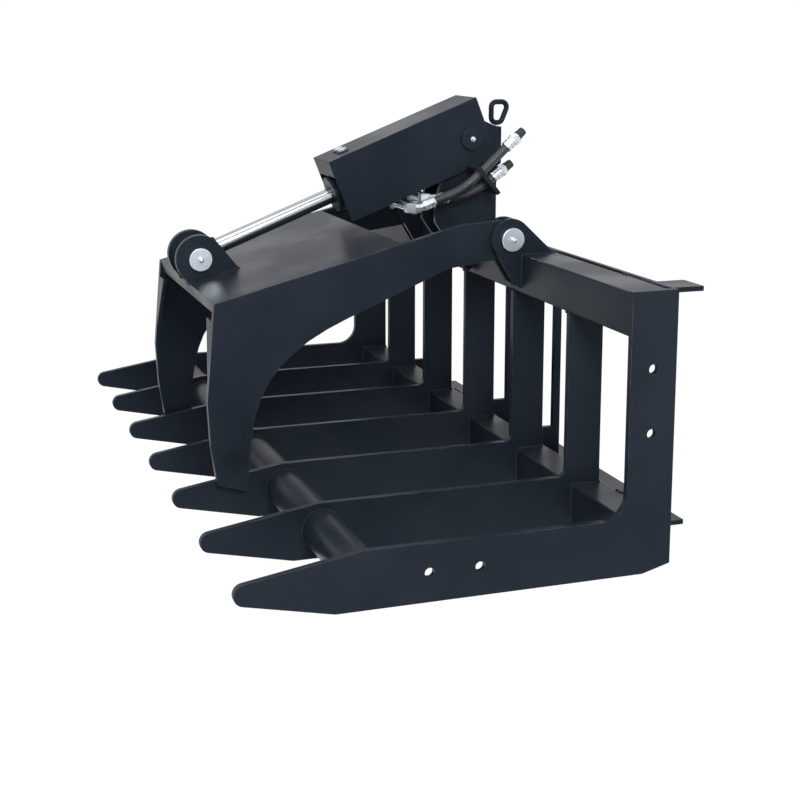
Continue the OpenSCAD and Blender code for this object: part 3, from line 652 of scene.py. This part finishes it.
# %% Welds of the ears, the tower and the attach frame
mount_runs = []
for ears in ("lid_ears_right", "lid_ears_left"):
    for x in plate_faces(ears):
        mount_runs.append([(x, top_low.y, low(ears).z), (x, top_low.y, top_high.z),
                           (x, high(ears).y, top_high.z)])
TOWER_FOOT = 9 * MM
for tower in ("tower_plate_right", "tower_plate_left"):
    for x in plate_faces(tower):
        mount_runs.append([(x, top_low.y, low(tower).z + TOWER_FOOT), (x, top_low.y, top_high.z),
                           (x, high(tower).y, top_high.z)])
brace_low, brace_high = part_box("tower_brace")
for x in (plate_faces("tower_plate_left")[1], plate_faces("tower_plate_right")[0]):
    mount_runs.append([(x, brace_low.y, brace_low.z), (x, brace_low.y, brace_high.z)])
weld("welds_mounts", mount_runs, "frame")

rail_low = low("attach_top_rail")
lip_top = high("attach_bottom_lip").z
attach_runs = []
for x in plate_faces("attach_webs"):
    attach_runs.append([(x, top_high.y, top_low.z), (x, top_high.y, top_high.z)])
    attach_runs.append([(x, rear_high.y, rear_high.z), (x, rear_high.y, lip_top),
                        (x, rail_low.y, lip_top)])
    attach_runs.append([(x, rail_low.y, rail_low.z), (x, rail_low.y, top_low.z)])
weld("welds_attach", attach_runs, "frame")

# %% Welds of the lid
lid_corners = points("lid_plate")
lid_front = lid_corners[np.argmin(lid_corners[:, 1])]
lid_rear = lid_corners[np.argmax(lid_corners[:, 2])]
LID_SLOPE = math.atan2(lid_rear[2] - lid_front[2], lid_rear[1] - lid_front[1])
LID_PLATE = 8 * MM
LUG_ROOT = 104 * MM
print("lid slope, degrees:", round(math.degrees(LID_SLOPE), 2))


def on_lid(x, along, up=0.0):
    """A point on the lid plate's top: along its slope from the front edge, and up from it."""
    return (x, lid_front[1] + along * math.cos(LID_SLOPE) - up * math.sin(LID_SLOPE),
            lid_front[2] + along * math.sin(LID_SLOPE) + up * math.cos(LID_SLOPE))


lid_length = math.dist(lid_rear[1:], lid_front[1:])
lid_runs = []
for x in (low("lid_plate").x, high("lid_plate").x):
    lid_runs.append([on_lid(x, LID_PLATE, -LID_PLATE), on_lid(x, lid_length, -LID_PLATE)])
for lug in ("rod_lug_right", "rod_lug_left"):
    for x in plate_faces(lug):
        lid_runs.append([on_lid(x, 0), on_lid(x, LUG_ROOT)])
weld("welds_lid", lid_runs, "lid")

# %% [markdown]
# Fittings, washers and grease nipples are turned on a lathe, so they are modelled the same way:
# a profile of distances and radii, swept round an axis. Six sides instead of many turn the same
# sweep into a hexagon nut.

# %% Turned parts
ROUND_SIDES = 40
HEX_SIDES = 6
NIPPLE_SIDES = 20
SOFT_ANGLE = math.radians(35)


def finish_mesh(name, corners, faces, slot, body):
    """A smooth closed piece from corners and faces, in its finish, on its body."""
    mesh = bpy.data.meshes.new(name)
    mesh.from_pydata(corners, [], faces)
    mesh.shade_smooth()
    mesh.set_sharp_from_angle(angle=SOFT_ANGLE)
    mesh.materials.append(finish[slot])
    piece = bpy.data.objects.new(name, mesh)
    scene.collection.objects.link(piece)
    if body:
        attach(piece, body)
    return piece


def swept(sections, closed=False):
    """Corners and faces of a skin over rings of points; an open skin gets flat ends."""
    corners = [corner for section in sections for corner in section]
    sides, count = len(sections[0]), len(sections)
    faces = []
    for i in range(count if closed else count - 1):
        a, b = i * sides, (i + 1) % count * sides
        for k in range(sides):
            j = (k + 1) % sides
            faces.append((a + k, a + j, b + j, b + k))
    if not closed:
        faces.append(tuple(range(sides - 1, -1, -1)))
        faces.append(tuple(range((count - 1) * sides, count * sides)))
    return corners, faces


def across(direction):
    """Two unit directions square to a direction, so that the three are right-handed."""
    side = Vector((1, 0, 0)) if abs(direction[0]) < 0.9 else Vector((0, 1, 0))
    first = side.cross(direction).normalized()
    return first, Vector(direction).cross(first).normalized()


def turned(start, direction, profile, sides=ROUND_SIDES, closed=False):
    """Skin swept round an axis from pairs of distance and radius."""
    direction = Vector(direction).normalized()
    first, second = across(direction)
    sections = []
    for distance, radius in profile:
        middle = Vector(start) + direction * distance
        turn = [2 * math.pi * k / sides for k in range(sides)]
        sections.append(
            [tuple(middle + radius * (math.cos(a) * first + math.sin(a) * second)) for a in turn])
    return swept(sections, closed)


def together(*skins):
    """Several closed skins as one."""
    corners, faces = [], []
    for more_corners, more_faces in skins:
        base = len(corners)
        corners.extend(more_corners)
        faces.extend(tuple(base + index for index in face) for face in more_faces)
    return corners, faces


def in_mm(*pairs):
    """A profile given in millimetres."""
    return [(distance * MM, radius * MM) for distance, radius in pairs]


# %% Grease nipples
NIPPLE = in_mm((-2, 5.4), (3.2, 5.4), (3.9, 4.6), (4.0, 2.9), (7.2, 2.5), (8.0, 3.4), (9.6, 3.4),
               (10.8, 2.2), (11.0, 0.9))


def nipple(pin, side):
    """A grease nipple in the middle of a pin's end; side is 1 towards +X."""
    first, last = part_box(pin)
    end = last.x if side > 0 else first.x
    middle = (end, (first.y + last.y) / 2, (first.z + last.z) / 2)
    return turned(middle, (side, 0, 0), NIPPLE, sides=NIPPLE_SIDES)


nipples = [nipple("pivot_pin_right", 1), nipple("pivot_pin_left", -1), nipple("base_pin", 1)]
finish_mesh("grease_nipples_frame", *together(*nipples), "zinc_steel", "frame")
finish_mesh("grease_nipple_rod_pin", *nipple("rod_pin", 1), "zinc_steel", "lid")
print("grease nipples:", len(nipples) + 1)

# %% Washers
BOLT_HEAD = 6 * MM
WASHER = in_mm((0, 6), (0, 12.6), (0.4, 13.0), (1.6, 13.0), (2.0, 12.6), (2.0, 6))


def washer(seat, direction):
    """A round washer on a seat."""
    return turned(seat, direction, WASHER, closed=True)


def loose_parts(node):
    """Middle of each separate solid of a CAD node."""
    mesh = bmesh.new()
    mesh.from_mesh(frame["nodes"][node].data)
    bmesh.ops.remove_doubles(mesh, verts=mesh.verts, dist=JOIN_DISTANCE)
    # Corners are taken in the mesh's own order, so each run lists the solids alike.
    seen = set()
    middles = []
    for start in mesh.verts:
        if start in seen:
            continue
        seen.add(start)
        found = [start]
        for corner in found:
            for edge in corner.link_edges:
                other = edge.other_vert(corner)
                if other not in seen:
                    seen.add(other)
                    found.append(other)
        middles.append(sum((corner.co for corner in found), Vector()) / len(found))
    mesh.free()
    return middles


AXIS = Vector(joints["rod_slide"]["axis"]).normalized()
ABOVE = Vector((0, -AXIS.z, AXIS.y))
bolt_skins = [washer(middle - ABOVE * BOLT_HEAD / 2, ABOVE) for middle in loose_parts("cover_bolts")]
finish_mesh("cover_washers", *together(*bolt_skins), "gloss_paint", "barrel")
print("washers:", len(bolt_skins))

# %% [markdown]
# A crimped fitting grips a hose: a steel shell is squeezed in a ring of jaws, which leaves
# narrow waists. Each hose has one crimped end at the cylinder and one behind the tower, and the
# loose end carries half of a quick coupler. The hose itself bends when the cylinder swings; here
# its skin is built in one place and rides on no body. The front hose leaves its elbow at a tilt,
# because the lid plate's rear edge comes up close under it when the lid is open.

# %% Hose routes
PORT_DROP = 68 * MM
ELBOW = 22 * MM
SEAT_GAP = 0.4 * MM
STEM_LENGTH = 5 * MM
HOSE_RADIUS = 9.5 * MM
HOSE_SIDES = 24
ROUTE_STEPS = 8
# Place across, distance of the port from the base pin along the cylinder, tilt of the way out,
# and bends in millimetres back and up from the base pin
hose_at = {
    "hose_1": (100 * MM, 186 * MM, math.radians(20), (
        (-79, -115), (-56, -106.5), (-34, -96), (-12, -80.5), (8, -63), (34, -39.5), (61, -15))),
    "hose_2": (78 * MM, 145 * MM, 0, (
        (-40, -115.6), (-22.3, -112.5), (-4.8, -106.5), (11.8, -98.2), (26.7, -88.1), (41, -78))),
}
base_pin = Vector(joints["barrel_pivot"]["pos_m"])


def behind_pin(x, back, up):
    """A point given in millimetres back and up from the base pin."""
    return Vector((x, base_pin.y + back * MM, base_pin.z + up * MM))


def smooth_route(corners):
    """Points of a smooth curve through the route's corners."""
    route = []
    last = len(corners) - 1
    for i in range(last):
        here, there = corners[i], corners[i + 1]
        before, after = corners[max(i - 1, 0)], corners[min(i + 2, last)]
        leave, arrive = (there - before) / 2, (after - here) / 2
        for step in range(ROUTE_STEPS):
            t = step / ROUTE_STEPS
            route.append((2 * t**3 - 3 * t**2 + 1) * here + (t**3 - 2 * t**2 + t) * leave
                         + (3 * t**2 - 2 * t**3) * there + (t**3 - t**2) * arrive)
    return route + [corners[last]]


def hose_route(node):
    """A hose's centre line: back out of its elbow at a tilt, then on through its bends."""
    x, port, tilt, bends = hose_at[node]
    mouth = base_pin - AXIS * port - ABOVE * PORT_DROP + Vector((0, ELBOW + SEAT_GAP, 0))
    mouth.x = x
    leave = Vector((0, math.cos(tilt), math.sin(tilt)))
    out = [mouth + leave * reach for reach in (STEM_LENGTH, 3 * STEM_LENGTH, 5 * STEM_LENGTH)]
    return smooth_route(out + [behind_pin(x, back, up) for back, up in bends])


def length_of(route):
    """Length along a route."""
    return sum((b - a).length for a, b in zip(route, route[1:]))


def tube_skin(route, radius, sides, closed=False):
    """A round skin along a route that stays in one plane across X."""
    last = len(route) - 1
    sections = []
    for i, middle in enumerate(route):
        if closed:
            heading = (route[(i + 1) % len(route)] - route[i - 1]).normalized()
        else:
            heading = (route[min(i + 1, last)] - route[max(i - 1, 0)]).normalized()
        sideways = Vector((1, 0, 0))
        upward = heading.cross(sideways)
        turn = [2 * math.pi * k / sides for k in range(sides)]
        sections.append(
            [tuple(middle + radius * (math.cos(a) * sideways + math.sin(a) * upward)) for a in turn])
    return swept(sections, closed)


routes = {node: hose_route(node) for node in hose_at}
print("hose lengths, metres:", {node: round(length_of(route), 3) for node, route in routes.items()})

# %% Hoses
def wrap_along(piece, route, sides):
    """UV map of a hose: around it, and along it in metres."""
    run = [0.0]
    for a, b in zip(route, route[1:]):
        run.append(run[-1] + (b - a).length)
    layer = piece.data.uv_layers.new(name="along")
    for face in piece.data.polygons:
        turns = [piece.data.loops[index].vertex_index % sides for index in face.loop_indices]
        wraps = len(face.vertices) == 4 and max(turns) - min(turns) > 1
        for index, turn in zip(face.loop_indices, turns):
            around = (turn + (sides if wraps and turn == 0 else 0)) / sides
            reach = run[piece.data.loops[index].vertex_index // sides]
            layer.data[index].uv = (around * 2 * math.pi * HOSE_RADIUS, reach)


CLAMP_BEND = {"hose_1": (7, -64), "hose_2": (27, -88)}
for node, route in routes.items():
    skin = tube_skin(route, HOSE_RADIUS, HOSE_SIDES)
    piece = finish_mesh(node + "_skin", *skin, "hose_rubber", None)
    wrap_along(piece, route, HOSE_SIDES)
    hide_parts(node)
    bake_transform(piece)
    print(piece.name, "faces:", len(piece.data.polygons))

# %% Crimped ends at the cylinder
SHELL = in_mm((0.5, 9.6), (0.5, 9.9), (5, 10.1), (7, 11.2), (10, 11.2), (11, 10.4), (14, 10.4),
              (15, 11.2), (18, 11.2), (19, 10.4), (22, 10.4), (23, 11.2), (26, 11.2), (27, 10.6),
              (27, 9.6))
STEM = in_mm((-7, 1), (-7, 8), (0.4, 8), (0.4, 1))
shells = []
for route in routes.values():
    leave = route[1] - route[0]
    shells.append(turned(route[0], leave, SHELL, closed=True))
    shells.append(turned(route[0], leave, STEM, closed=True))
finish_mesh("crimped_ends", *together(*shells), "zinc_steel", "barrel")
print("crimped ends:", len(routes))

# %% Quick couplers
CRIMP = in_mm((-2, 9.6), (-2, 11.6), (-1, 12), (3, 12), (4, 11.2), (7, 11.2), (8, 12), (11, 12),
              (12, 11.2), (15, 11.2), (16, 12), (20, 12), (20.5, 9.6))
NUT = in_mm((20, 6), (20, 13), (21, 14), (29, 14), (30, 13), (30, 6))
NOSE = in_mm((29, 9), (32, 9), (32.6, 7.4), (40, 7.4), (40.6, 1))
CAP = in_mm((32.2, 7.6), (32.2, 9.6), (33, 10), (35, 10), (35.8, 9.2), (46, 8.9), (48.8, 8.2),
            (50, 6.6), (50, 1), (41, 1), (41, 7.6))
coupler_skins = []
cap_skins = []
for route in routes.values():
    heading = route[-1] - route[-2]
    coupler_skins.append(turned(route[-1], heading, CRIMP, closed=True))
    coupler_skins.append(turned(route[-1], heading, NUT, sides=HEX_SIDES, closed=True))
    coupler_skins.append(turned(route[-1], heading, NOSE))
    cap_skins.append(turned(route[-1], heading, CAP, closed=True))
couplers = finish_mesh("quick_couplers", *together(*coupler_skins), "zinc_steel", "frame")
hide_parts("hose_couplers")
finish_mesh("coupler_caps", *together(*cap_skins), "seal_rubber", "frame")
print("couplers with caps:", len(cap_skins))

# %% Clamp grommets
GROMMET = in_mm((-7, 9.6), (-7, 12.4), (-4.2, 13), (-4.2, 11.4), (4.2, 11.4), (4.2, 13),
                (7, 12.4), (7, 9.6))
CLAMP_ANGLE = math.radians(40)
CLAMP_HALF = 4 * MM
along_hose = Vector((0, math.cos(CLAMP_ANGLE), math.sin(CLAMP_ANGLE)))
grommets = []
for node, bend in CLAMP_BEND.items():
    middle = behind_pin(hose_at[node][0], *bend) - along_hose * CLAMP_HALF
    grommets.append(turned(middle, along_hose, GROMMET, closed=True))
finish_mesh("clamp_grommets", *together(*grommets), "seal_rubber", "frame")
print("grommets:", len(grommets))

# %% [markdown]
# The guide behind the tower is one round bar bent into a closed loop. Its path is four corners,
# each turned into an arc of one bend radius, and the skin that made the hoses goes round it too.

# %% Guide loop
GUIDE_BAR = 5.5 * MM
GUIDE_BEND = 11 * MM
GUIDE_FOOT = 22 * MM
GUIDE_SIDES = 20
BEND_STEPS = 6
guide_low, guide_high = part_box("hose_guide")
guide_corners = [
    Vector((0, guide_low.y + GUIDE_BAR, guide_low.z + GUIDE_BAR)),
    Vector((0, guide_low.y + GUIDE_BAR, guide_high.z - GUIDE_BAR)),
    Vector((0, guide_high.y - GUIDE_BAR, guide_high.z - GUIDE_BAR)),
    Vector((0, guide_low.y + GUIDE_BAR + GUIDE_FOOT, guide_low.z + GUIDE_BAR)),
]


def rounded_loop(corners, radius):
    """Closed path with each corner bent to a radius."""
    path = []
    for i, corner in enumerate(corners):
        before = (corners[i - 1] - corner).normalized()
        after = (corners[(i + 1) % len(corners)] - corner).normalized()
        half = before.angle(after) / 2
        reach = radius / math.tan(half)
        middle = corner + (before + after).normalized() * radius / math.sin(half)
        first = (corner + before * reach - middle).normalized()
        last = (corner + after * reach - middle).normalized()
        path.extend(
            middle + radius * first.slerp(last, step / BEND_STEPS) for step in range(BEND_STEPS + 1))
    return path


loop = rounded_loop(guide_corners, GUIDE_BEND)
guide_skin = tube_skin(loop, GUIDE_BAR, GUIDE_SIDES, closed=True)
guide = finish_mesh("guide_loop", *guide_skin, "gloss_paint", "frame")
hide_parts("hose_guide")
print("guide loop, metres:", [round(value, 3) for value in guide_high - guide_low])
